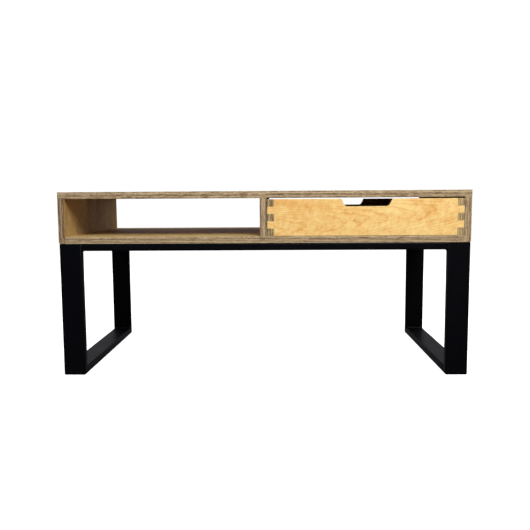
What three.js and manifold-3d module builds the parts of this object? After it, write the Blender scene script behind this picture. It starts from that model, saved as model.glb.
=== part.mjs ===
// Low table: a birch plywood box with an open shelf and a pull-through drawer, on a welded
// steel frame of two closed leg loops and two rails. Millimetres, +Z up, front towards -Y.
// The origin is on the floor, under the middle of the table.
import * as THREE from 'three';
import { mergeVertices } from 'three/addons/utils/BufferGeometryUtils.js';
import Module from 'manifold-3d';

// Overall sizes.
const TABLE_WIDTH = 1100;
const TABLE_DEPTH = 550;
const TABLE_HEIGHT = 498;
const FRAME_HEIGHT = 360;
const FRAME_INSET = 0.5;

// Plywood box.
const PLY = 18;
const DRAWER_BAY_WIDTH = 524;
const LOWER_CORNER_RADIUS = 3.5;

// Dowels in the butt joints of the box.
const DOWEL_RADIUS = 4;
const DOWEL_LENGTH = 30;
const DOWEL_SHORT_END = 10;
const DOWEL_CHAMFER = 1;
const DOWEL_HOLE_CLEARANCE = 0.1;
const DOWEL_HOLE_EXTRA_DEPTH = 1;
const DOWELS_PER_JOINT = 4;
const DOWEL_PITCH = 150;

// Flat steel tube of the frame.
const TUBE_WIDTH = 60;
const TUBE_THICKNESS = 20;
const TUBE_WALL = 2;
const TUBE_RADIUS = 4;
const TUBE_BORE_RADIUS = 2;
const WELD_GAP = 0.3;

// Pan-head wood screws that hold the box down on the frame.
const SCREW_RADIUS = 2.25;
const SCREW_CORE_RADIUS = 1.5;
const SCREW_TIP_RADIUS = 0.4;
const SCREW_LENGTH = 16;
const SCREW_TIP_LENGTH = 3;
const SCREW_THREAD_PITCH = 2.6;
const SCREW_HEAD_RADIUS = 4.5;
const SCREW_HEAD_HEIGHT = 3;
const SCREW_HEAD_PROFILE = [[0, -1], [0.6, -1], [0.9, -0.75], [1, -0.4], [1, 0]];
const SCREW_SEAT_GAP = 0.2;
const RECESS_LENGTH = 4.8;
const RECESS_WIDTH = 1.1;
const RECESS_DEPTH = 1.8;
const WALL_HOLE_RADIUS = 2.75;
const ACCESS_HOLE_RADIUS = 6;
const PILOT_HOLE_RADIUS = 2.4;
const PILOT_HOLE_DEPTH = 15.5;
const BAR_SCREW_PITCH = 300;
const RAIL_SCREW_PITCH = 330;

// Drawer.
const DRAWER_GAP_LEFT = 2;
const DRAWER_GAP_RIGHT = 1;
const DRAWER_GAP_ABOVE = 4;
const DRAWER_GAP_BELOW = 0.5;
const FINGER_COUNT = 5;
const GLUE_GAP = 0.2;
const HANDLE_WIDTH = 135;
const HANDLE_DEPTH = 20;
const HANDLE_RADIUS = 11;
const HANDLE_SLOPE = THREE.MathUtils.degToRad(26);
const FRONT_HANDLE_SHIFT = 3.5;
const DRAWER_BOTTOM = 6;
const DRAWER_BOTTOM_HEIGHT = 10;
const GROOVE_DEPTH = 6;
const GROOVE_CLEARANCE = 0.3;

// Rounding of curved outlines.
const TUBE_CORNER_SEGMENTS = 3;
const OUTLINE_SEGMENTS = 8;
const ROUND_SEGMENTS = 12;
const SCREW_SEGMENTS = 8;
const CUTTER_MARGIN = 1;

// Sizes that follow from the driving dimensions.
const HALF_WIDTH = TABLE_WIDTH / 2;
const HALF_DEPTH = TABLE_DEPTH / 2;
const CEILING = TABLE_HEIGHT - PLY;
const FLOOR = FRAME_HEIGHT + PLY;
const BAY_RIGHT = HALF_WIDTH - PLY;
const BAY_LEFT = BAY_RIGHT - DRAWER_BAY_WIDTH;
const DIVIDER_X = BAY_LEFT - PLY / 2;
const RAIL_END_X = HALF_WIDTH - FRAME_INSET - TUBE_WIDTH;
const LOOP_X = HALF_WIDTH - FRAME_INSET - TUBE_WIDTH / 2;
const RAIL_Y = HALF_DEPTH - TUBE_WIDTH / 2;
const DRAWER_LENGTH = DRAWER_BAY_WIDTH - DRAWER_GAP_LEFT - DRAWER_GAP_RIGHT;
const DRAWER_HEIGHT = CEILING - FLOOR - DRAWER_GAP_ABOVE - DRAWER_GAP_BELOW;
const DRAWER_X = BAY_LEFT + DRAWER_GAP_LEFT + DRAWER_LENGTH / 2;
const SHOULDER = PLY + GLUE_GAP;

const wasm = await Module();
wasm.setup();

const carcassPly = { color: 0xc9ab7e, roughness: 0.6, metalness: 0 };
const drawerPly = { color: 0xf2c57f, roughness: 0.5, metalness: 0 };
const thinPly = { color: 0xe8c795, roughness: 0.6, metalness: 0 };
const beech = { color: 0xd8b384, roughness: 0.7, metalness: 0 };
const blackSteel = { color: 0x0b0b0e, roughness: 0.4, metalness: 0.1 };
const zincSteel = { color: 0xb9bcc2, roughness: 0.3, metalness: 1 };

// ---- solids -------------------------------------------------------------------------------

// A closed three.js geometry as a manifold solid.
function toSolid(geometry) {
  const bare = geometry.clone();
  bare.deleteAttribute('normal');
  bare.deleteAttribute('uv');
  const merged = mergeVertices(bare, 1e-4);
  const vertProperties = new Float32Array(merged.attributes.position.array);
  const triVerts = new Uint32Array(merged.index.array);
  return new wasm.Manifold(new wasm.Mesh({ numProp: 3, vertProperties, triVerts }));
}

// A manifold solid as a three.js geometry.
function toGeometry(solid) {
  const { vertProperties, triVerts } = solid.getMesh();
  const geometry = new THREE.BufferGeometry();
  geometry.setAttribute('position', new THREE.BufferAttribute(vertProperties, 3));
  geometry.setIndex(new THREE.BufferAttribute(triVerts, 1));
  geometry.computeVertexNormals();
  return geometry;
}

// The first geometry less all the cutters.
function cut(geometry, cutters) {
  let solid = toSolid(geometry);
  for (const cutter of cutters) {
    solid = solid.subtract(toSolid(cutter));
  }
  return toGeometry(solid);
}

// A box from its lowest to its highest corner.
function boxBetween(low, high) {
  const size = high.map((value, i) => value - low[i]);
  const middle = high.map((value, i) => (value + low[i]) / 2);
  return new THREE.BoxGeometry(...size).translate(...middle);
}

// The turn from a solid's own upright Y axis to a direction.
function turnTo(direction) {
  return new THREE.Quaternion().setFromUnitVectors(new THREE.Vector3(0, 1, 0), direction);
}

// A round cutter that starts at a point and runs along a direction.
function roundCutter(radius, start, direction, length) {
  const along = new THREE.Vector3(...direction);
  const middle = new THREE.Vector3(...start).addScaledVector(along, length / 2);
  const cylinder = new THREE.CylinderGeometry(radius, radius, length, ROUND_SEGMENTS);
  return cylinder.applyQuaternion(turnTo(along)).translate(middle.x, middle.y, middle.z);
}

// Evenly spaced values about zero.
function spread(count, pitch) {
  return Array.from({ length: count }, (_, i) => (i - (count - 1) / 2) * pitch);
}

// ---- plywood box --------------------------------------------------------------------------

const dowelRows = spread(DOWELS_PER_JOINT, DOWEL_PITCH);

// Each butt joint has a row of dowels along Y. A joint is given by a point on the joint face and
// the direction in which the dowels' short ends point, into the thickness of a board's face.
const boxJoints = {
  left_top: { at: [-HALF_WIDTH + PLY / 2, 0, CEILING], into: [0, 0, 1] },
  right_top: { at: [HALF_WIDTH - PLY / 2, 0, CEILING], into: [0, 0, 1] },
  left_bottom: { at: [-BAY_RIGHT, 0, FLOOR - PLY / 2], into: [-1, 0, 0] },
  right_bottom: { at: [BAY_RIGHT, 0, FLOOR - PLY / 2], into: [1, 0, 0] },
  divider_top: { at: [DIVIDER_X, 0, CEILING], into: [0, 0, 1] },
  divider_bottom: { at: [DIVIDER_X, 0, FLOOR], into: [0, 0, -1] },
};

// The dowel holes of one joint, in the board that takes the short ends or in the other one.
function dowelHoles(jointName, shortEnds) {
  const { at, into } = boxJoints[jointName];
  const depth = (shortEnds ? DOWEL_SHORT_END : DOWEL_LENGTH - DOWEL_SHORT_END) + DOWEL_HOLE_EXTRA_DEPTH;
  const direction = into.map((value) => (shortEnds ? value : -value));
  const radius = DOWEL_RADIUS + DOWEL_HOLE_CLEARANCE;
  return dowelRows.map((y) => {
    const start = at.map((value, i) => value - direction[i] * CUTTER_MARGIN);
    start[1] += y;
    return roundCutter(radius, start, direction, depth + CUTTER_MARGIN);
  });
}

// A dowel with chamfered ends, in its place in a joint.
function dowel(jointName, y) {
  const { at, into } = boxJoints[jointName];
  const half = DOWEL_LENGTH / 2;
  const rim = DOWEL_RADIUS - DOWEL_CHAMFER;
  const profile = [
    new THREE.Vector2(0, -half),
    new THREE.Vector2(rim, -half),
    new THREE.Vector2(DOWEL_RADIUS, -half + DOWEL_CHAMFER),
    new THREE.Vector2(DOWEL_RADIUS, half - DOWEL_CHAMFER),
    new THREE.Vector2(rim, half),
    new THREE.Vector2(0, half),
  ];
  const along = new THREE.Vector3(...into);
  const middle = new THREE.Vector3(...at).addScaledVector(along, DOWEL_SHORT_END - half);
  const pin = new THREE.LatheGeometry(profile, ROUND_SEGMENTS);
  return pin.applyQuaternion(turnTo(along)).translate(middle.x, middle.y + y, middle.z);
}

function topPanel() {
  const board = boxBetween([-HALF_WIDTH, -HALF_DEPTH, CEILING], [HALF_WIDTH, HALF_DEPTH, TABLE_HEIGHT]);
  return cut(board, [
    ...dowelHoles('left_top', true),
    ...dowelHoles('right_top', true),
    ...dowelHoles('divider_top', true),
  ]);
}

function bottomPanel() {
  const board = boxBetween([-BAY_RIGHT, -HALF_DEPTH, FRAME_HEIGHT], [BAY_RIGHT, HALF_DEPTH, FLOOR]);
  return cut(board, [
    ...dowelHoles('left_bottom', false),
    ...dowelHoles('right_bottom', false),
    ...dowelHoles('divider_bottom', true),
    ...screwHoles(Object.values(frameScrews).flat(), FRAME_HEIGHT, PILOT_HOLE_RADIUS, PILOT_HOLE_DEPTH),
  ]);
}

// An end panel, drawn as its outline seen from the front, with a rounded lower outer corner.
function sidePanel(side, name) {
  const outline = new THREE.Shape();
  const height = CEILING - FRAME_HEIGHT;
  outline.moveTo(0, 0);
  outline.lineTo(PLY - LOWER_CORNER_RADIUS, 0);
  outline.absarc(PLY - LOWER_CORNER_RADIUS, LOWER_CORNER_RADIUS, LOWER_CORNER_RADIUS, -Math.PI / 2, 0, false);
  outline.lineTo(PLY, height);
  outline.lineTo(0, height);
  outline.closePath();
  const board = new THREE.ExtrudeGeometry(outline, {
    depth: TABLE_DEPTH,
    bevelEnabled: false,
    curveSegments: TUBE_CORNER_SEGMENTS,
  });
  board.rotateX(Math.PI / 2);
  board.translate(0, HALF_DEPTH, 0);
  if (side < 0) {
    board.rotateZ(Math.PI);
  }
  board.translate(side * BAY_RIGHT, 0, FRAME_HEIGHT);
  return cut(board, [...dowelHoles(`${name}_top`, false), ...dowelHoles(`${name}_bottom`, true)]);
}

function dividerPanel() {
  const left = DIVIDER_X - PLY / 2;
  const board = boxBetween([left, -HALF_DEPTH, FLOOR], [BAY_LEFT, HALF_DEPTH, CEILING]);
  return cut(board, [...dowelHoles('divider_top', false), ...dowelHoles('divider_bottom', false)]);
}

// ---- steel frame --------------------------------------------------------------------------

// The screws' places under the box, as X and Y, for each tube that they pass through.
const frameScrews = {
  left_top_bar: spread(2, BAR_SCREW_PITCH).map((y) => [-LOOP_X, y]),
  right_top_bar: spread(2, BAR_SCREW_PITCH).map((y) => [LOOP_X, y]),
  front_rail: spread(3, RAIL_SCREW_PITCH).map((x) => [x, -RAIL_Y]),
  rear_rail: spread(3, RAIL_SCREW_PITCH).map((x) => [x, RAIL_Y]),
};

// Upright holes that start at one height, one for each screw.
function screwHoles(places, height, radius, depth) {
  return places.map(([x, y]) => {
    const start = [x, y, height - CUTTER_MARGIN];
    return roundCutter(radius, start, [0, 0, 1], depth + CUTTER_MARGIN);
  });
}

// A rectangle with round corners, its middle at the origin.
function roundedRectangle(path, width, height, radius) {
  const x = width / 2 - radius;
  const y = height / 2 - radius;
  path.moveTo(-x, -y - radius);
  path.lineTo(x, -y - radius);
  path.absarc(x, -y, radius, -Math.PI / 2, 0, false);
  path.lineTo(x + radius, y);
  path.absarc(x, y, radius, 0, Math.PI / 2, false);
  path.lineTo(-x, y + radius);
  path.absarc(-x, y, radius, Math.PI / 2, Math.PI, false);
  path.lineTo(-x - radius, -y);
  path.absarc(-x, -y, radius, Math.PI, Math.PI * 1.5, false);
  path.closePath();
  return path;
}

// A length of tube along Z from 0, its width along X and its thickness along Y.
function tube(length) {
  const section = roundedRectangle(new THREE.Shape(), TUBE_WIDTH, TUBE_THICKNESS, TUBE_RADIUS);
  const boreWidth = TUBE_WIDTH - 2 * TUBE_WALL;
  const boreHeight = TUBE_THICKNESS - 2 * TUBE_WALL;
  section.holes.push(roundedRectangle(new THREE.Path(), boreWidth, boreHeight, TUBE_BORE_RADIUS));
  return new THREE.ExtrudeGeometry(section, {
    depth: length,
    bevelEnabled: false,
    curveSegments: TUBE_CORNER_SEGMENTS,
  });
}

// A tube whose two ends slope at 45 degrees, so that its -Y face keeps the full length.
function mitredTube(length) {
  const geometry = tube(length);
  const position = geometry.attributes.position;
  const back = WELD_GAP / Math.SQRT2;
  for (let i = 0; i < position.count; i += 1) {
    const inset = position.getY(i) + TUBE_THICKNESS / 2 + back;
    const atStart = position.getZ(i) < length / 2;
    position.setZ(i, atStart ? inset : length - inset);
  }
  geometry.computeVertexNormals();
  return geometry;
}

// A mitred tube's four places round a closed loop, seen along X: its -Y face is the outside.
const loopBars = {
  front_leg: { length: FRAME_HEIGHT, quarterTurns: 0, from: [-HALF_DEPTH, 0] },
  top_bar: { length: TABLE_DEPTH, quarterTurns: -1, from: [-HALF_DEPTH, FRAME_HEIGHT] },
  rear_leg: { length: FRAME_HEIGHT, quarterTurns: -2, from: [HALF_DEPTH, FRAME_HEIGHT] },
  bottom_runner: { length: TABLE_DEPTH, quarterTurns: -3, from: [HALF_DEPTH, 0] },
};

// One bar of a leg loop, in the table's frame.
function loopBar(bar, x) {
  const { length, quarterTurns, from } = loopBars[bar];
  const geometry = mitredTube(length);
  geometry.translate(0, TUBE_THICKNESS / 2, 0);
  geometry.rotateX(quarterTurns * Math.PI / 2);
  geometry.translate(x, from[0], from[1]);
  return geometry;
}

// Cutters for the screws' holes in a tube under the box: the wide hole below lets the driver
// in, and the narrow one above takes the shank.
function frameHoles(places) {
  const underside = FRAME_HEIGHT - TUBE_THICKNESS;
  const upperWall = FRAME_HEIGHT - TUBE_WALL;
  return [
    ...screwHoles(places, underside, ACCESS_HOLE_RADIUS, TUBE_WALL + CUTTER_MARGIN),
    ...screwHoles(places, upperWall, WALL_HOLE_RADIUS, TUBE_WALL + CUTTER_MARGIN),
  ];
}

function topBar(x, name) {
  return cut(loopBar('top_bar', x), frameHoles(frameScrews[name]));
}

// A rail between the two leg loops, laid flat under the front or rear edge of the box.
function rail(y, name) {
  const length = 2 * (RAIL_END_X - WELD_GAP);
  const geometry = tube(length);
  geometry.translate(0, 0, -length / 2);
  geometry.rotateX(Math.PI / 2);
  geometry.rotateZ(Math.PI / 2);
  geometry.translate(0, y, FRAME_HEIGHT - TUBE_THICKNESS / 2);
  return cut(geometry, frameHoles(frameScrews[name]));
}

// A pan-head wood screw, pointing up, with its head's seat at height 0.
function screw() {
  const profile = SCREW_HEAD_PROFILE.map(([across, along]) => (
    new THREE.Vector2(SCREW_HEAD_RADIUS * across, SCREW_HEAD_HEIGHT * along)
  ));
  profile.push(new THREE.Vector2(SCREW_CORE_RADIUS, 0));
  const threadTop = SCREW_LENGTH - SCREW_TIP_LENGTH;
  for (let z = SCREW_THREAD_PITCH; z + SCREW_THREAD_PITCH / 2 < threadTop; z += SCREW_THREAD_PITCH) {
    profile.push(new THREE.Vector2(SCREW_CORE_RADIUS, z));
    profile.push(new THREE.Vector2(SCREW_RADIUS, z + SCREW_THREAD_PITCH / 2));
  }
  profile.push(new THREE.Vector2(SCREW_CORE_RADIUS, threadTop));
  profile.push(new THREE.Vector2(SCREW_TIP_RADIUS, SCREW_LENGTH));
  profile.push(new THREE.Vector2(0, SCREW_LENGTH));
  const body = new THREE.LatheGeometry(profile, SCREW_SEGMENTS);
  body.rotateX(Math.PI / 2);
  const low = -SCREW_HEAD_HEIGHT - CUTTER_MARGIN;
  const high = -SCREW_HEAD_HEIGHT + RECESS_DEPTH;
  const long = RECESS_LENGTH / 2;
  const short = RECESS_WIDTH / 2;
  return cut(body, [
    boxBetween([-long, -short, low], [long, short, high]),
    boxBetween([-short, -long, low], [short, long, high]),
  ]);
}

// ---- drawer -------------------------------------------------------------------------------

// One end of a drawer wall's outline, from its lower corner to its upper one. The end is cut
// into equal bands, and the wall's box-joint fingers are the bands that reach its full length.
function fingerEdge(halfLength, isFinger) {
  const band = DRAWER_HEIGHT / FINGER_COUNT;
  const reach = (i) => (isFinger(i) ? halfLength : halfLength - SHOULDER);
  const points = [new THREE.Vector2(reach(0), 0)];
  for (let i = 1; i < FINGER_COUNT; i += 1) {
    const height = i * band + (isFinger(i) ? GLUE_GAP / 2 : -GLUE_GAP / 2);
    points.push(new THREE.Vector2(reach(i - 1), height));
    points.push(new THREE.Vector2(reach(i), height));
  }
  points.push(new THREE.Vector2(reach(FINGER_COUNT - 1), DRAWER_HEIGHT));
  return points;
}

// The finger grip: a notch in the top edge, its middle at middleX, with sloping sides and round
// lower corners.
function notchTopEdge(outline, middleX) {
  const top = DRAWER_HEIGHT;
  const centreZ = top - HANDLE_DEPTH + HANDLE_RADIUS;
  const slopeRun = (HANDLE_DEPTH - HANDLE_RADIUS) * Math.tan(HANDLE_SLOPE);
  const centreX = HANDLE_WIDTH / 2 - slopeRun - HANDLE_RADIUS / Math.cos(HANDLE_SLOPE);
  const right = middleX + centreX;
  const left = middleX - centreX;
  outline.lineTo(middleX + HANDLE_WIDTH / 2, top);
  outline.absarc(right, centreZ, HANDLE_RADIUS, -HANDLE_SLOPE, -Math.PI / 2, true);
  outline.absarc(left, centreZ, HANDLE_RADIUS, -Math.PI / 2, -Math.PI + HANDLE_SLOPE, true);
  outline.lineTo(middleX - HANDLE_WIDTH / 2, top);
}

// A drawer wall standing on Z = 0: its length along X, centred, its thickness from Y = 0 to PLY,
// and its inner face at Y = PLY with the groove that holds the drawer's bottom. notchX is the
// middle of its finger grip, if it has one.
function drawerWall(length, isFinger, grooveLength, notchX = null) {
  const edge = fingerEdge(length / 2, isFinger);
  const outline = new THREE.Shape();
  outline.moveTo(edge[0].x, edge[0].y);
  edge.slice(1).forEach((point) => outline.lineTo(point.x, point.y));
  if (notchX !== null) {
    notchTopEdge(outline, notchX);
  }
  edge.reverse().forEach((point) => outline.lineTo(-point.x, point.y));
  outline.closePath();
  const wall = new THREE.ExtrudeGeometry(outline, {
    depth: PLY,
    bevelEnabled: false,
    curveSegments: OUTLINE_SEGMENTS,
  });
  wall.rotateX(Math.PI / 2);
  wall.translate(0, PLY, 0);
  const low = DRAWER_BOTTOM_HEIGHT - GROOVE_CLEARANCE;
  const high = DRAWER_BOTTOM_HEIGHT + DRAWER_BOTTOM + GROOVE_CLEARANCE;
  const groove = boxBetween(
    [-grooveLength / 2, PLY - GROOVE_DEPTH, low],
    [grooveLength / 2, PLY + CUTTER_MARGIN, high],
  );
  return cut(wall, [groove]);
}

const isFrontFinger = (band) => band % 2 === 1;
const isSideFinger = (band) => band % 2 === 0;

function drawerFrontWall() {
  return drawerWall(DRAWER_LENGTH, isFrontFinger, DRAWER_LENGTH, FRONT_HANDLE_SHIFT);
}

// The back wall's notch is at its middle.
function drawerBackWall() {
  return drawerWall(DRAWER_LENGTH, isFrontFinger, DRAWER_LENGTH, 0);
}

function drawerSideWall() {
  const grooveLength = TABLE_DEPTH - 2 * PLY + 2 * GROOVE_DEPTH;
  return drawerWall(TABLE_DEPTH, isSideFinger, grooveLength);
}

function drawerBottom() {
  const reach = GROOVE_DEPTH - GROOVE_CLEARANCE - PLY;
  const x = DRAWER_LENGTH / 2 + reach;
  const y = HALF_DEPTH + reach;
  const top = DRAWER_BOTTOM_HEIGHT + DRAWER_BOTTOM;
  return boxBetween([-x, -y, DRAWER_BOTTOM_HEIGHT], [x, y, top]);
}

// ---- assembly -----------------------------------------------------------------------------

function namedMesh(name, geometry, look) {
  const mesh = new THREE.Mesh(geometry, new THREE.MeshStandardMaterial(look));
  mesh.name = name;
  return mesh;
}

const box = new THREE.Group();
box.add(namedMesh('top_panel', topPanel(), carcassPly));
box.add(namedMesh('bottom_panel', bottomPanel(), carcassPly));
box.add(namedMesh('left_side_panel', sidePanel(-1, 'left'), carcassPly));
box.add(namedMesh('right_side_panel', sidePanel(1, 'right'), carcassPly));
box.add(namedMesh('divider_panel', dividerPanel(), carcassPly));
for (const joint of Object.keys(boxJoints)) {
  dowelRows.forEach((y, i) => box.add(namedMesh(`${joint}_dowel_${i + 1}`, dowel(joint, y), beech)));
}

const frame = new THREE.Group();
for (const [side, x] of [['left', -LOOP_X], ['right', LOOP_X]]) {
  for (const bar of ['front_leg', 'rear_leg', 'bottom_runner']) {
    frame.add(namedMesh(`${side}_${bar}`, loopBar(bar, x), blackSteel));
  }
  frame.add(namedMesh(`${side}_top_bar`, topBar(x, `${side}_top_bar`), blackSteel));
}
frame.add(namedMesh('front_rail', rail(-RAIL_Y, 'front_rail'), blackSteel));
frame.add(namedMesh('rear_rail', rail(RAIL_Y, 'rear_rail'), blackSteel));
for (const [tubeName, places] of Object.entries(frameScrews)) {
  places.forEach(([x, y], i) => {
    const mesh = namedMesh(`${tubeName}_screw_${i + 1}`, screw(), zincSteel);
    mesh.position.set(x, y, FRAME_HEIGHT - TUBE_WALL - SCREW_SEAT_GAP);
    frame.add(mesh);
  });
}

// Each drawer wall is turned about Z so that its outer face looks outwards.
const drawerWalls = [
  { name: 'drawer_front', wall: drawerFrontWall, place: [0, -HALF_DEPTH], quarterTurns: 0 },
  { name: 'drawer_right_side', wall: drawerSideWall, place: [DRAWER_LENGTH / 2, 0], quarterTurns: 1 },
  { name: 'drawer_back', wall: drawerBackWall, place: [0, HALF_DEPTH], quarterTurns: 2 },
  { name: 'drawer_left_side', wall: drawerSideWall, place: [-DRAWER_LENGTH / 2, 0], quarterTurns: 3 },
];
const drawer = new THREE.Group();
for (const { name, wall, place, quarterTurns } of drawerWalls) {
  const mesh = namedMesh(name, wall(), drawerPly);
  mesh.position.set(place[0], place[1], 0);
  mesh.rotation.z = quarterTurns * Math.PI / 2;
  drawer.add(mesh);
}
drawer.add(namedMesh('drawer_bottom', drawerBottom(), thinPly));
drawer.position.set(DRAWER_X, 0, FLOOR + DRAWER_GAP_BELOW);

const table = new THREE.Group();
table.add(box, frame, drawer);

export default table;
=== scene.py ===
import math

import bmesh
import bpy
from mathutils import Matrix, Vector


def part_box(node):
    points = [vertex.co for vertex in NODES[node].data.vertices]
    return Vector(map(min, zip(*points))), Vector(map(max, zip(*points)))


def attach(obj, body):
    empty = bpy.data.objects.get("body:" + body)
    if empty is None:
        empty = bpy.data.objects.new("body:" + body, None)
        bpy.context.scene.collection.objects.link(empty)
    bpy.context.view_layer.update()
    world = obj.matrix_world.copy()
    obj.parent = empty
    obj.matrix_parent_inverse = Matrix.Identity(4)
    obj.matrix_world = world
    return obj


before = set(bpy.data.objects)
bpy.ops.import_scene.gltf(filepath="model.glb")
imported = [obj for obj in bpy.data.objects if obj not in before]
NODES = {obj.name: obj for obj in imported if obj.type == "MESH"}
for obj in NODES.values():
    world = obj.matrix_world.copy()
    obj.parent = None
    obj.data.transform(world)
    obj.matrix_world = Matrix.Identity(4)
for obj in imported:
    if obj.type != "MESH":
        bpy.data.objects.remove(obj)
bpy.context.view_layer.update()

MM = 0.001
AXES = {"X": Vector((1, 0, 0)), "Y": Vector((0, 1, 0)), "Z": Vector((0, 0, 1))}

# Camera, just under the height of the table's top.
CAMERA_PLACE = (0.0380, -1.9491, 0.4760)
CAMERA_PITCH = 0.1042
CAMERA_YAW = 0.0207
CAMERA_ROLL = -0.0063
CAMERA_LENS = 42.72
SENSOR_WIDTH = 36.0

# Softboxes: name, place, aim, width, height, watts and colour.
WHITE = (1.0, 1.0, 1.0)
SOFTBOXES = (
    ("front_softbox", (0.8, -2.3, 2.1), (0, -0.2, 0.35), 1.8, 1.2, 87, WHITE),
    ("left_window", (-1.3, -2.2, 1.75), (-0.4, -0.27, 0.36), 0.45, 0.6, 12, (0.72, 0.84, 1.0)),
    ("top_softbox", (0.2, -0.1, 2.5), (0, 0, 0.3), 2.2, 1.6, 22, WHITE),
    ("rear_softbox", (-0.6, 1.9, 2.6), (0, 0, 0.4), 2.0, 1.2, 26, WHITE),
    ("low_rear_softbox", (0.3, 3.2, 1.2), (0, 0, 0.3), 4.0, 1.0, 4.4, (0.92, 0.82, 1.0)),
    ("left_strip", (-1.7, 1.9, 0.6), (0, 0, 0.3), 0.4, 1.2, 6, WHITE),
    ("right_strip", (1.7, 1.9, 0.6), (0, 0, 0.3), 0.4, 1.2, 6, WHITE),
)
BACKDROP_LIGHT = 0.10
BACKDROP_SEEN = 1.05

# Plywood.
PLY_THICKNESS = 2.0 * MM
THIN_PLY_THICKNESS = 1.2 * MM
GLUE_LINE = 0.16 * MM
BOX_ARRIS = 0.7 * MM
DRAWER_ARRIS = 0.6 * MM
THIN_ARRIS = 0.3 * MM
# Width of the paled arris band: sanded wear, and a painted highlight.
WORN_AND_HIGHLIT_ARRIS = 1.1 * MM
LAYER_WAVER = 0.5 * MM
PLY_RELIEF = 0.25 * MM

# The size of each feature of the wood: along the grain, across it and through the layers.
FIGURE = {
    "drift": (0.30, 0.075, 0.5),
    "ripple": (0.045, 0.016, 0.5),
    "ring_strength": (0.10, 0.03, 0.5),
    "waver": (0.09, 0.09, 0.5),
    "fibre": (0.07, 0.0016, 0.0011),
    "tone": (0.16, 0.05, 0.5),
    "curl": (0.011, 0.015, 0.5),
    "cloud": (0.034, 0.022, 0.5),
    "fleck": (0.0085, 0.0011, 0.5),
    "patch": (0.030, 0.030, 0.0036),
    "mottle": (0.0065, 0.0065, 0.0024),
    "void_shade": (0.006, 0.006, 0.0009),
    "handling": (0.03, 0.03, 0.03),
}

# How much each feature darkens a cut edge.
EDGE_LAYER_DEPTH = 0.5
EDGE_PATCH_DEPTH = 1.8
EDGE_MOTTLE_DEPTH = 1.1
EDGE_FIBRE_DEPTH = 0.9
EDGE_BASE_DEPTH = 0.36

# Pin knots in the drawer front: their places as shares of its width and height, and their radii.
FRONT_KNOTS = ((0.444, 0.409, 1.5 * MM), (0.360, 0.588, 0.7 * MM), (0.391, 0.425, 0.9 * MM))

# Steel tube and its welds.
TUBE = 20 * MM
TUBE_ROUND = 4 * MM
WELD_ROOT = 1.0 * MM
WELD_ROOT_INSET = 1.06 * MM
RIPPLE_PITCH = 2.6 * MM
MITRE_SETBACK = 0.2 * MM
MITRE_BEAD = 2.6 * MM
UNDER_RAIL_BEAD = {"left": 4 * MM, "right": 7 * MM}
BEHIND_RAIL_BEAD = 4 * MM
FILLED_GROOVE = (4.4 * MM, 4 * MM)


def srgb(red, green, blue):
    """A display colour, 0 to 255, as the linear colour that a socket takes."""

    def linear(level):
        share = level / 255
        if share <= 0.04045:
            return share / 12.92
        return ((share + 0.055) / 1.055) ** 2.4

    return (linear(red), linear(green), linear(blue), 1.0)


# ---- node graphs ----------------------------------------------------------------------------


class Graph:
    """A material being built: each method adds one node and returns its output socket."""

    def __init__(self, name):
        self.material = bpy.data.materials.new(name)
        self.material.use_nodes = True
        self.tree = self.material.node_tree
        self.shader = self.tree.nodes["Principled BSDF"]

    def feed(self, socket, value):
        if isinstance(value, bpy.types.NodeSocket):
            self.tree.links.new(value, socket)
        else:
            socket.default_value = value

    def node(self, kind, inputs=(), **settings):
        made = self.tree.nodes.new("ShaderNode" + kind)
        for name, value in settings.items():
            setattr(made, name, value)
        for key, value in dict(inputs).items():
            self.feed(made.inputs[key], value)
        return made

    def math(self, operation, *values):
        return self.node("Math", enumerate(values), operation=operation).outputs[0]

    def vector(self, operation, *values):
        made = self.node("VectorMath", enumerate(values), operation=operation)
        return made.outputs["Value" if operation == "DOT_PRODUCT" else "Vector"]

    def add(self, *values):
        total = values[0]
        for value in values[1:]:
            total = self.math("ADD", total, value)
        return total

    def times(self, *values):
        product = values[0]
        for value in values[1:]:
            product = self.math("MULTIPLY", product, value)
        return product

    def step(self, value, start, end):
        """0 below start and 1 above end, with a smooth rise between; start may be the larger."""
        inputs = {"Value": value, "From Min": start, "From Max": end}
        return self.node("MapRange", inputs, interpolation_type="SMOOTHSTEP").outputs[0]

    def noise(self, place, size, detail=2.0, roughness=0.5):
        """Soft noise, centred on 0, whose features are about size = (x, y, z) metres across."""
        scaled = self.vector("MULTIPLY", place, tuple(1 / length for length in size))
        inputs = {"Vector": scaled, "Scale": 1.0, "Detail": detail, "Roughness": roughness}
        return self.math("SUBTRACT", self.node("TexNoise", inputs).outputs[0], 0.5)

    def mix(self, share, first, second, blend="MIX"):
        made = self.node("Mix", {0: share, 6: first, 7: second}, data_type="RGBA", blend_type=blend)
        return made.outputs[2]

    def arris(self, radius):
        """0 on open faces, and more within this radius of an edge."""
        rounded = self.node("Bevel", {"Radius": radius}, samples=4).outputs[0]
        true_normal = self.node("NewGeometry").outputs["True Normal"]
        return self.math("SUBTRACT", 1.0, self.vector("DOT_PRODUCT", rounded, true_normal))

    def bump(self, height, distance, strength=1.0):
        inputs = {"Height": height, "Distance": distance, "Strength": strength}
        return self.node("Bump", inputs).outputs[0]

    def finish(self, colour, roughness, normal, **constants):
        self.feed(self.shader.inputs["Base Color"], colour)
        self.feed(self.shader.inputs["Roughness"], roughness)
        self.feed(self.shader.inputs["Normal"], normal)
        for name, value in constants.items():
            self.shader.inputs[name.replace("_", " ")].default_value = value
        return self.material


# ---- plywood --------------------------------------------------------------------------------


def board_place(graph, axes):
    """The place in the row frame as (along the grain, across it, through the layers), and the last
    of these on its own."""
    place = graph.node("TexCoord").outputs["Object"]
    parts = [graph.vector("DOT_PRODUCT", place, AXES[name]) for name in axes]
    return graph.node("CombineXYZ", enumerate(parts)).outputs[0], parts[2]


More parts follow.
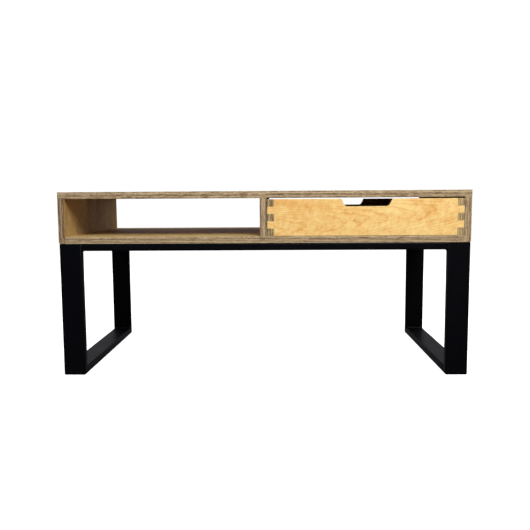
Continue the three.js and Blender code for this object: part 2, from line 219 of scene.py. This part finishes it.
def rotary_figure(graph, own, place, look, bulges):
    """Birch veneer's figure: 0 in pale early wood and 1 in a ring's dark line. Rings are the level
    lines of a ridge along the grain, so they make arches."""
    along = graph.vector("DOT_PRODUCT", own, (1 / look["ring_run"], 0.0, 0.0))
    spread = look["ridge_width"]
    across = graph.vector("DOT_PRODUCT", own, (-look["ridge_lean"] / spread, 1 / spread, 0.0))
    off_ridge = graph.math("ABSOLUTE", graph.math("SUBTRACT", across, look["ridge_offset"] / spread))
    ridge = graph.math("POWER", off_ridge, 2.0)
    drift = graph.times(graph.noise(place, FIGURE["drift"], 1.0), look["ring_drift"])
    ripple = graph.times(graph.noise(place, FIGURE["ripple"], 3.0), look["ring_ripple"])
    height = graph.add(along, ridge, drift, ripple, look["ring_start"])
    for bulge in bulges:
        height = graph.add(height, graph.times(bulge, 0.5))
    phase = graph.math("FRACT", height)
    strength = graph.step(graph.noise(place, FIGURE["ring_strength"], 1.0), -0.26, 0.08)
    return graph.times(graph.math("POWER", phase, 5.0), graph.step(phase, 1.0, 0.92), strength)


def knot_masks(graph, place, knots):
    """For each pin knot: a soft bulge in the grain round it, and its dark heart."""
    bulges, hearts = [], []
    for along, across, radius in knots:
        offset = graph.vector("SUBTRACT", place, (along, across, 0.0))
        flat = graph.vector("MULTIPLY", offset, (0.75, 1.0, 0.0))
        distance = graph.node("VectorMath", {0: flat}, operation="LENGTH").outputs["Value"]
        bulges.append(graph.step(distance, radius * 9, 0.0))
        hearts.append(graph.step(distance, radius * 1.25, radius * 0.45))
    return bulges, hearts


def surface_masks(graph, grain, layers):
    """1 on the veneered faces, and 1 on the surfaces that cut the grain's ends."""
    normal = graph.node("NewGeometry").outputs["True Normal"]
    facing = graph.math("ABSOLUTE", graph.vector("DOT_PRODUCT", normal, AXES[layers]))
    endways = graph.math("ABSOLUTE", graph.vector("DOT_PRODUCT", normal, AXES[grain]))
    return graph.step(facing, 0.55, 0.85), graph.math("GREATER_THAN", endways, 0.5)


def layer_masks(graph, place, depth, start, on_end, ply):
    """The layer's number, 1 in the layers that run across the board, 1 where an edge shows end
    grain, and 1 in a glue line."""
    waver = graph.times(graph.noise(place, FIGURE["waver"], 1.0), LAYER_WAVER)
    level = graph.math("DIVIDE", graph.add(depth, waver, -start), ply)
    number = graph.math("FLOOR", level)
    odd = graph.math("MODULO", number, 2.0)
    cut_end = graph.math("ABSOLUTE", graph.math("SUBTRACT", odd, on_end))
    within = graph.math("FRACT", level)
    nearest = graph.math("MINIMUM", within, graph.math("SUBTRACT", 1.0, within))
    return number, odd, cut_end, graph.step(nearest, GLUE_LINE / ply, 0.0)


def wood_fibres(graph, place, odd, on_face):
    """Fine fibres along the grain, turned across it in the edges of the odd layers."""
    long, short, deep = FIGURE["fibre"]
    long_fibre = graph.noise(place, (long, short, deep), 4.0, 0.62)
    cross_fibre = graph.noise(place, (short, long, deep), 4.0, 0.62)
    turned = graph.times(odd, graph.math("SUBTRACT", 1.0, on_face))
    return graph.node("Mix", {0: turned, 2: long_fibre, 3: cross_fibre}).outputs[0]


def face_colour(graph, place, ring, fibre, fleck, hearts, look, tint):
    """A veneered face: rings, broad tones, curl and fibre, with short flecks and pin knots."""
    tone = graph.noise(place, FIGURE["tone"], 2.0)
    turned = graph.node("VectorRotate", {"Vector": place, "Angle": look["curl_angle"]}).outputs[0]
    curl = graph.noise(turned, FIGURE["curl"], 4.0, 0.65)
    cloud = graph.noise(place, FIGURE["cloud"], 3.0, 0.6)
    shade = graph.add(
        graph.times(ring, look["ring_depth"]),
        graph.times(tone, look["tone_depth"]),
        graph.times(curl, look["curl_depth"]),
        graph.times(cloud, look["cloud_depth"]),
        graph.times(fibre, look["fibre_depth"]),
        look["base_depth"] + tint,
    )
    face = graph.mix(graph.step(shade, 0.0, 1.0), look["pale"], look["deep"])
    face = graph.mix(graph.times(fleck, 0.5), face, look["fleck"])
    for heart in hearts:
        face = graph.mix(graph.times(heart, 0.85), face, look["knot"])
    return face


def edge_colour(graph, place, number, cut_end, glue, fibre, look, shift, tint):
    """A cut edge: side grain, darker end grain, thin glue lines, and open voids in the core drawn as
    painted shade.
    """
    layer_seed = graph.node("CombineXYZ", {"X": number, "Y": shift[0], "Z": shift[1]}).outputs[0]
    layer_tone = graph.node("TexWhiteNoise", {"Vector": layer_seed}, noise_dimensions="3D").outputs[0]
    shade = graph.add(
        graph.times(cut_end, look["layer_depth"]),
        graph.times(graph.math("SUBTRACT", layer_tone, 0.5), EDGE_LAYER_DEPTH),
        graph.times(graph.noise(place, FIGURE["patch"], 3.0, 0.7), EDGE_PATCH_DEPTH),
        graph.times(graph.noise(place, FIGURE["mottle"], 2.0, 0.6), EDGE_MOTTLE_DEPTH),
        graph.times(fibre, EDGE_FIBRE_DEPTH),
        EDGE_BASE_DEPTH + tint,
    )
    edge = graph.mix(graph.step(shade, 0.0, 1.0), look["edge_pale"], look["edge_deep"])
    edge = graph.mix(graph.times(glue, 0.55), edge, look["glue"])
    # Voids: dark spots in the end-grain layers, painted as the shade inside a hole.
    void_noise = graph.noise(place, FIGURE["void_shade"], 1.0)
    void_shade = graph.times(graph.step(void_noise, 0.27, 0.31), cut_end)
    return graph.mix(graph.times(void_shade, 0.8), edge, look["glue"])


def sanded_and_highlit_arris(graph, place):
    """How far an arris is paled, unevenly along its length: sanded and handled wear, and a painted
    highlight.
    """
    handled = graph.add(0.75, graph.noise(place, FIGURE["handling"], 2.0))
    return graph.times(graph.step(graph.arris(WORN_AND_HIGHLIT_ARRIS), 0.02, 0.16), handled)


def plywood_gloss(graph, look, on_face, fibre, fleck, worn_and_highlit):
    """Roughness: higher in fibres, flecks and cut edges, and lower on worn arrises, whose mask also
    carries their painted highlight.
    """
    in_grain = graph.add(look["roughness"], graph.times(fibre, 0.25), graph.times(fleck, 0.1))
    on_edge = graph.times(graph.math("SUBTRACT", 1.0, on_face), 0.16)
    return graph.add(in_grain, graph.times(worn_and_highlit, -0.08), on_edge)


def plywood(name, box, grain, layers, look, shift, tint, knots=(), ply=PLY_THICKNESS):
    """Plywood for a board that fills box, with its face grain and its layers along the named axes."""
    graph = Graph(name)
    across = next(axis for axis in "XYZ" if axis not in (grain, layers))
    axes = (grain, across, layers)
    middle = (box[0] + box[1]) / 2
    centre = [middle["XYZ".index(axis)] for axis in axes]
    start = box[0]["XYZ".index(layers)]
    true_place, depth = board_place(graph, axes)
    own = graph.vector("SUBTRACT", true_place, centre)
    place = graph.vector("ADD", true_place, shift)

    bulges, hearts = knot_masks(graph, true_place, knots)
    on_face, on_end = surface_masks(graph, grain, layers)
    number, odd, cut_end, glue = layer_masks(graph, place, depth, start, on_end, ply)
    fibre = wood_fibres(graph, place, odd, on_face)
    ring = rotary_figure(graph, own, place, look, bulges)
    fleck = graph.step(graph.noise(place, FIGURE["fleck"], 1.0), 0.225, 0.29)
    worn_and_highlit = sanded_and_highlit_arris(graph, place)

    face = face_colour(graph, place, ring, fibre, fleck, hearts, look, tint)
    edge = edge_colour(graph, place, number, cut_end, glue, fibre, look, shift, tint)
    # Arrises paled towards the arris colour: partly sanded wear, partly a painted highlight.
    colour = graph.mix(graph.times(worn_and_highlit, look["wear"]), graph.mix(on_face, edge, face), look["arris"])
    rough = plywood_gloss(graph, look, on_face, fibre, fleck, worn_and_highlit)
    relief = graph.add(fibre, graph.times(fleck, -0.5), graph.times(glue, -0.4))
    for heart in hearts:
        relief = graph.add(relief, graph.times(heart, -1.5))
    bump = graph.bump(relief, PLY_RELIEF, 0.5)
    return graph.finish(colour, rough, bump, Specular_IOR_Level=look["specular"])


BOX_LOOK = {
    "pale": srgb(212, 184, 122),
    "deep": srgb(172, 134, 78),
    "fleck": srgb(120, 88, 50),
    "knot": srgb(70, 44, 26),
    "edge_pale": srgb(202, 178, 138),
    "edge_deep": srgb(114, 86, 60),
    "glue": srgb(60, 40, 26),
    # Arris colour: pale sanded wood, brightened as a painted highlight.
    "arris": srgb(230, 206, 158),
    "ring_run": 0.16,
    "ring_start": 0.3,
    "ring_drift": 4.0,
    "ring_ripple": 0.9,
    "ridge_width": 0.075,
    "ridge_offset": 0.02,
    "ridge_lean": 0.04,
    "ring_depth": 0.40,
    "tone_depth": 0.8,
    "curl_depth": 0.6,
    "curl_angle": 0.3,
    "cloud_depth": 0.6,
    "fibre_depth": 0.65,
    "base_depth": 0.38,
    "layer_depth": 0.30,
    # How strongly arrises are paled: sanded wear and a painted highlight.
    "wear": 0.4,
    "roughness": 0.52,
    "specular": 0.18,
}
DRAWER_LOOK = {
    **BOX_LOOK,
    "pale": srgb(253, 219, 145),
    "deep": srgb(222, 154, 70),
    "fleck": srgb(176, 118, 52),
    "knot": srgb(72, 40, 16),
    "edge_pale": srgb(202, 174, 124),
    "edge_deep": srgb(112, 86, 54),
    # Arris colour: sanded wood brightened to a near-white painted highlight.
    "arris": srgb(255, 242, 180),
    "ring_run": 0.06,
    "ring_start": 0.775,
    "ring_drift": 0.9,
    "ring_ripple": 1.5,
    "ridge_width": 0.024,
    "ridge_offset": -0.006,
    "ridge_lean": 0.117,
    "ring_depth": 0.5,
    "curl_depth": 0.9,
    "curl_angle": 0.5,
    "cloud_depth": 0.4,
    "fibre_depth": 0.5,
    "base_depth": 0.40,
    # How strongly arrises are paled: sanded wear and a painted highlight.
    "wear": 0.75,
    "roughness": 0.46,
    "specular": 0.3,
}


# Every board: its face grain, the axis of its layers, its look, where its figure starts, and how
# much darker (or paler, below 0) its sheet is.
BOARDS = {
    "top_panel": ("X", "Z", BOX_LOOK, (3.1, 0.7, 0.2), 0.03),
    "bottom_panel": ("X", "Z", BOX_LOOK, (7.4, 1.9, 0.5), -0.01),
    "left_side_panel": ("Z", "X", BOX_LOOK, (1.6, 4.3, 0.8), 0.19),
    "right_side_panel": ("Z", "X", BOX_LOOK, (5.2, 2.7, 0.1), 0.08),
    "divider_panel": ("Z", "X", BOX_LOOK, (9.7, 3.3, 0.4), 0.13),
    "drawer_front": ("X", "Y", DRAWER_LOOK, (0.0, 0.0, 0.0), 0.0),
    "drawer_back": ("X", "Y", DRAWER_LOOK, (2.3, 6.1, 0.3), 0.03),
    "drawer_left_side": ("Y", "X", DRAWER_LOOK, (4.9, 8.2, 0.6), 0.07),
    "drawer_right_side": ("Y", "X", DRAWER_LOOK, (6.6, 5.4, 0.9), -0.05),
}


def front_knots():
    """The drawer front's pin knots in the row frame, as (along, across, radius)."""
    low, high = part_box("drawer_front")
    return [
        (low.x + along * (high.x - low.x), low.z + up * (high.z - low.z), radius)
        for along, up, radius in FRONT_KNOTS
    ]


def dress_boards():
    for name, (grain, layers, look, shift, tint) in BOARDS.items():
        knots = front_knots() if name == "drawer_front" else ()
        material = plywood(name + "_ply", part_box(name), grain, layers, look, shift, tint, knots)
        wear(NODES[name], material)
        ease(NODES[name], DRAWER_ARRIS if name.startswith("drawer") else BOX_ARRIS)
    look = {**DRAWER_LOOK, "ridge_width": 0.05, "ring_run": 0.14}
    thin_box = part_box("drawer_bottom")
    shift = (8.8, 7.7, 0.7)
    thin = plywood("thin_ply", thin_box, "X", "Z", look, shift, 0.0, ply=THIN_PLY_THICKNESS)
    wear(NODES["drawer_bottom"], thin)
    ease(NODES["drawer_bottom"], THIN_ARRIS)


# ---- other materials ------------------------------------------------------------------------


def black_powder_coat():
    """Satin black powder coat: fine orange peel, slightly rubbed edges."""
    graph = Graph("black_powder_coat")
    place = graph.node("TexCoord").outputs["Object"]
    peel = graph.noise(place, (0.0016, 0.0016, 0.0016), 2.0)
    grit = graph.noise(place, (0.0004, 0.0004, 0.0004), 1.0)
    cloud = graph.noise(place, (0.07, 0.07, 0.07), 3.0)
    rub = graph.times(graph.step(graph.arris(1.4 * MM), 0.03, 0.25), graph.add(0.5, cloud))
    colour = graph.mix(graph.add(0.5, cloud), srgb(5, 5, 8), srgb(8, 8, 12))
    colour = graph.mix(graph.times(rub, 0.5), colour, srgb(24, 24, 30))
    rough = graph.add(0.36, graph.times(cloud, 0.14), graph.times(grit, 0.10), graph.times(rub, -0.06))
    bump = graph.bump(graph.add(peel, graph.times(grit, 0.4)), 0.10 * MM, 0.6)
    return graph.finish(colour, rough, bump, Specular_IOR_Level=0.08)


def beech():
    """Pale beech dowel: straight grain with short dark flecks."""
    graph = Graph("beech_dowel")
    place = graph.node("TexCoord").outputs["Object"]
    fibre = graph.noise(place, (0.0012, 0.0012, 0.03), 3.0)
    fleck = graph.step(graph.noise(place, (0.0009, 0.0009, 0.004), 1.0), 0.18, 0.26)
    colour = graph.mix(graph.add(0.5, fibre), srgb(222, 186, 140), srgb(190, 148, 104))
    colour = graph.mix(graph.times(fleck, 0.6), colour, srgb(142, 98, 62))
    rough = graph.add(0.6, graph.times(fibre, 0.3))
    return graph.finish(colour, rough, graph.bump(fibre, 0.2 * MM, 0.5), Specular_IOR_Level=0.3)


def zinc():
    """Zinc plating with a faint blue-yellow passivate cloud and fine scratches."""
    graph = Graph("zinc_screw")
    place = graph.node("TexCoord").outputs["Object"]
    cloud = graph.noise(place, (0.003, 0.003, 0.003), 2.0)
    scratch = graph.noise(place, (0.0012, 0.0001, 0.0012), 2.0)
    colour = graph.mix(graph.add(0.5, cloud), srgb(196, 200, 206), srgb(204, 198, 176))
    rough = graph.add(0.3, graph.times(cloud, 0.2), graph.times(scratch, 0.25))
    return graph.finish(colour, rough, graph.bump(scratch, 0.05 * MM, 0.4), Metallic=1.0)


# ---- CAD solids -----------------------------------------------------------------------------


def wear(piece, material):
    """Gives the piece this one material, and smooth shading."""
    piece.data.materials.clear()
    piece.data.materials.append(material)
    piece.data.shade_smooth()


def merge_corners(node):
    """Joins the solid's split corners and its coplanar triangles, for the modifiers after it."""
    weld = node.modifiers.new("join_corners", "WELD")
    weld.merge_threshold = 0.01 * MM
    flat = node.modifiers.new("join_flats", "DECIMATE")
    flat.decimate_type = "DISSOLVE"
    flat.angle_limit = math.radians(0.5)


def weigh_normals(node):
    weighted = node.modifiers.new("flat_faces", "WEIGHTED_NORMAL")
    weighted.keep_sharp = True


def ease(node, width):
    """Rounds the solid's sharp edges by width, inside its own shape."""
    merge_corners(node)
    bevel = node.modifiers.new("arris", "BEVEL")
    bevel.width = width
    bevel.segments = 2
    bevel.limit_method = "ANGLE"
    bevel.angle_limit = math.radians(40)
    bevel.vmesh_method = "CUTOFF"
    weigh_normals(node)


def dress_hardware(steel):
    # A screw's name also names its tube, so the screws come before the tubes.
    groups = {"dowel": beech(), "screw": zinc()}
    groups.update({tube: steel for tube in ("leg", "runner", "bar", "rail")})
    for name, node in NODES.items():
        kind = next((word for word in groups if word in name), None)
        if kind is None:
            continue
        wear(node, groups[kind])
        merge_corners(node)
        weigh_normals(node)


# ---- welds ----------------------------------------------------------------------------------


def skin(bm, rings, closed_path=False):
    """Joins a row of rings of points into one closed surface."""
    made = [[bm.verts.new(point) for point in ring] for ring in rings]
    pairs = list(zip(made, made[1:]))
    if closed_path:
        pairs.append((made[-1], made[0]))
    count = len(made[0])
    for first, second in pairs:
        for i in range(count):
            j = (i + 1) % count
            bm.faces.new((first[i], first[j], second[j], second[i]))
    if not closed_path:
        bm.faces.new(made[0])
        bm.faces.new(made[-1])


def fillet(bm, start, end, first, second, size, arc_points=6):
    """A concave weld bead in the inside corner from start to end; first and second point from
    the corner along its two faces. The bead is rippled and thins out at both ends."""
    start, end = Vector(start), Vector(end)
    length = (end - start).length
    steps = max(8, round(length / (RIPPLE_PITCH / 4)))
    root = -(first + second) * 0.4 * MM
    rings = []
    for i in range(steps + 1):
        share = i / steps
        taper = min(1.0, 0.25 + min(share, 1 - share) * length / size)
        ripple = 1 + 0.05 * math.sin(math.tau * share * length / RIPPLE_PITCH)
        reach = size * taper * ripple
        corner = start.lerp(end, share)
        ring = [corner + root]
        for k in range(arc_points + 1):
            angle = math.pi / 2 * k / arc_points
            along_first = reach * (1 - math.sin(angle))
            along_second = reach * (1 - math.cos(angle))
            ring.append(corner + first * along_first + second * along_second)
        rings.append(ring)
    skin(bm, rings)


def groove_fill(bm, start, end, outward, inward, width, depth):
    """Weld metal in the groove beside a rounded tube edge: from start to end, width towards
    inward, its face just below the flush surface whose normal is outward."""
    start, end = Vector(start), Vector(end)
    steps = max(8, round((end - start).length / (RIPPLE_PITCH / 4)))
    rings = []
    for i in range(steps + 1):
        share = i / steps
        ripple = 0.12 * MM * (1 + math.sin(math.tau * share * (end - start).length / RIPPLE_PITCH))
        corner = start.lerp(end, share) - outward * (0.15 * MM + ripple)
        rings.append([
            corner + inward * -0.2 * MM,
            corner + inward * width * 0.5 - outward * 0.25 * MM,
            corner + inward * width,
            corner + inward * width * 0.55 - outward * depth * 0.45,
            corner + inward * -0.2 * MM - outward * depth,
        ])
    skin(bm, rings)


def mitre_root(bm, low_x, high_x, outer, inner):
    """Weld metal in the gap between two mitred tubes: a ring inside the tubes' own section.
    outer and inner are the (y, z) of the corner's outer and inner edges."""
    outer, inner = Vector((0, *outer)), Vector((0, *inner))
    through = (inner - outer) / TUBE
    radius = TUBE_ROUND - WELD_ROOT_INSET
    centres = [
        (high_x - TUBE_ROUND, TUBE - TUBE_ROUND, 0),
        (low_x + TUBE_ROUND, TUBE - TUBE_ROUND, 90),
        (low_x + TUBE_ROUND, TUBE_ROUND, 180),
        (high_x - TUBE_ROUND, TUBE_ROUND, 270),
    ]
    rings = []
    for x, depth, first_angle in centres:
        for k in range(4):
            angle = math.radians(first_angle + 30 * k)
            spoke = Vector((math.cos(angle), 0, 0)) + through * math.sin(angle)
            centre = Vector((x, 0, 0)) + outer + through * depth + spoke * radius
            side = spoke.normalized() * WELD_ROOT
            across = through.cross(AXES["X"]).normalized() * WELD_ROOT
            turns = [math.tau * m / 8 for m in range(8)]
            rings.append([centre + side * math.cos(t) * 0.95 + across * math.sin(t) for t in turns])
    skin(bm, rings, closed_path=True)


def weld_piece(name, build, steel):
    """One weld as a piece of its own, on the table's body."""
    bm = bmesh.new()
    build(bm)
    bmesh.ops.recalc_face_normals(bm, faces=bm.faces)
    mesh = bpy.data.meshes.new(name)
    bm.to_mesh(mesh)
    bm.free()
    piece = bpy.data.objects.new(name, mesh)
    bpy.context.scene.collection.objects.link(piece)
    wear(piece, steel)
    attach(piece, "table")


def mitre_weld(leg, bar, name, steel):
    """The weld of a leg's mitre: filled gap, and a small bead in the inside corner."""
    leg_low, leg_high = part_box(leg)
    bar_low, bar_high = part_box(bar)
    front = leg_low.y < 0
    outer_y = bar_low.y - MITRE_SETBACK if front else bar_high.y + MITRE_SETBACK
    inner_y = outer_y + (TUBE if front else -TUBE)
    at_floor = bar_low.z < TUBE / 2
    outer_z = bar_low.z if at_floor else bar_high.z
    inner_z = outer_z + (TUBE if at_floor else -TUBE)
    up = AXES["Z"] if at_floor else -AXES["Z"]
    away = AXES["Y"] if front else -AXES["Y"]
    margin = TUBE_ROUND * 0.6

    def build(bm):
        mitre_root(bm, leg_low.x, leg_high.x, (outer_y, outer_z), (inner_y, inner_z))
        start = (leg_low.x + margin, inner_y, inner_z)
        end = (leg_high.x - margin, inner_y, inner_z)
        fillet(bm, start, end, up, away, MITRE_BEAD)

    weld_piece(name, build, steel)


def rail_weld(rail, side, name, steel):
    """The weld of a rail's end on its leg and top bar: bead under the rail, bead behind it, and
    filled grooves where the faces are flush."""
    low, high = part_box(rail)
    inward = AXES["X"] * (-1 if side == "right" else 1)
    face_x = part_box(side + "_front_leg")[0 if side == "right" else 1].x
    front = low.y < 0
    outer_y, inner_y = (low.y, high.y) if front else (high.y, low.y)
    away = AXES["Y"] if front else -AXES["Y"]
    leg_y = outer_y + (TUBE if front else -TUBE)

    def place(y, z):
        return Vector((face_x, y, z))

    def build(bm):
        edge_y = outer_y + (TUBE_ROUND * 0.75 if front else -TUBE_ROUND * 0.75)
        start, end = place(edge_y, low.z), place(leg_y, low.z)
        fillet(bm, start, end, inward, -AXES["Z"], UNDER_RAIL_BEAD[side])
        lower, upper = low.z + TUBE_ROUND * 0.6, high.z - TUBE_ROUND * 0.6
        fillet(bm, place(inner_y, lower), place(inner_y, upper), inward, away, BEHIND_RAIL_BEAD)
        groove_fill(bm, place(outer_y, lower), place(outer_y, upper), -away, -inward, *FILLED_GROOVE)
        under = inner_y - away.y * TUBE_ROUND * 0.6
        groove_fill(bm, place(leg_y, low.z), place(under, low.z), -AXES["Z"], -inward, *FILLED_GROOVE)

    weld_piece(name, build, steel)


def add_welds(steel):
    for side in ("left", "right"):
        for end in ("front", "rear"):
            leg = f"{side}_{end}_leg"
            mitre_weld(leg, f"{side}_bottom_runner", f"{side}_{end}_foot_weld", steel)
            mitre_weld(leg, f"{side}_top_bar", f"{side}_{end}_head_weld", steel)
            rail_weld(f"{end}_rail", side, f"{side}_{end}_rail_weld", steel)


# ---- studio ---------------------------------------------------------------------------------


def camera():
    turn = (
        Matrix.Rotation(CAMERA_YAW, 4, "Z")
        @ Matrix.Rotation(math.pi / 2 - CAMERA_PITCH, 4, "X")
        @ Matrix.Rotation(CAMERA_ROLL, 4, "Z")
    )
    data = bpy.data.cameras.new("camera")
    data.lens = CAMERA_LENS
    data.sensor_width = SENSOR_WIDTH
    made = bpy.data.objects.new("camera", data)
    made.matrix_world = Matrix.Translation(CAMERA_PLACE) @ turn
    bpy.context.scene.collection.objects.link(made)
    bpy.context.scene.camera = made


def softbox(name, place, aim, width, height, watts, colour):
    data = bpy.data.lights.new(name, "AREA")
    data.shape = "RECTANGLE"
    data.size = width
    data.size_y = height
    data.energy = watts
    data.color = colour
    made = bpy.data.objects.new(name, data)
    made.location = place
    made.visible_camera = False
    made.rotation_euler = (Vector(aim) - Vector(place)).to_track_quat("-Z", "Y").to_euler()
    bpy.context.scene.collection.objects.link(made)


def backdrop():
    """A white backdrop behind everything, which lights the table only softly."""
    world = bpy.data.worlds.new("studio")
    bpy.context.scene.world = world
    world.use_nodes = True
    tree = world.node_tree
    path = tree.nodes.new("ShaderNodeLightPath")
    level = tree.nodes.new("ShaderNodeMapRange")
    level.inputs["To Min"].default_value = BACKDROP_LIGHT
    level.inputs["To Max"].default_value = BACKDROP_SEEN
    tree.links.new(path.outputs["Is Camera Ray"], level.inputs["Value"])
    tree.links.new(level.outputs[0], tree.nodes["Background"].inputs["Strength"])
    tree.nodes["Background"].inputs["Color"].default_value = (0.97, 0.98, 1.0, 1.0)


def floor():
    """A pale floor under the table."""
    bpy.ops.mesh.primitive_plane_add(size=30)
    plane = bpy.context.object
    plane.name = "studio_floor"
    graph = Graph("studio_floor")
    place = graph.node("TexCoord").outputs["Object"]
    cloud = graph.noise(place, (0.6, 0.6, 0.6), 2.0)
    colour = graph.mix(graph.add(0.5, cloud), srgb(222, 222, 222), srgb(226, 226, 226))
    graph.shader.inputs["Emission Color"].default_value = (1, 1, 1, 1)
    bump = graph.bump(cloud, 0.1 * MM, 0.1)
    graph.finish(colour, graph.add(0.9, cloud), bump, Specular_IOR_Level=0.0, Emission_Strength=0.95)
    plane.data.materials.append(graph.material)
    plane.visible_diffuse = False
    plane.visible_glossy = False


def studio():
    scene = bpy.context.scene
    scene.view_settings.view_transform = "Standard"
    backdrop()
    floor()
    for settings in SOFTBOXES:
        softbox(*settings)


camera()
studio()
black_steel = black_powder_coat()
dress_boards()
dress_hardware(black_steel)
add_welds(black_steel)
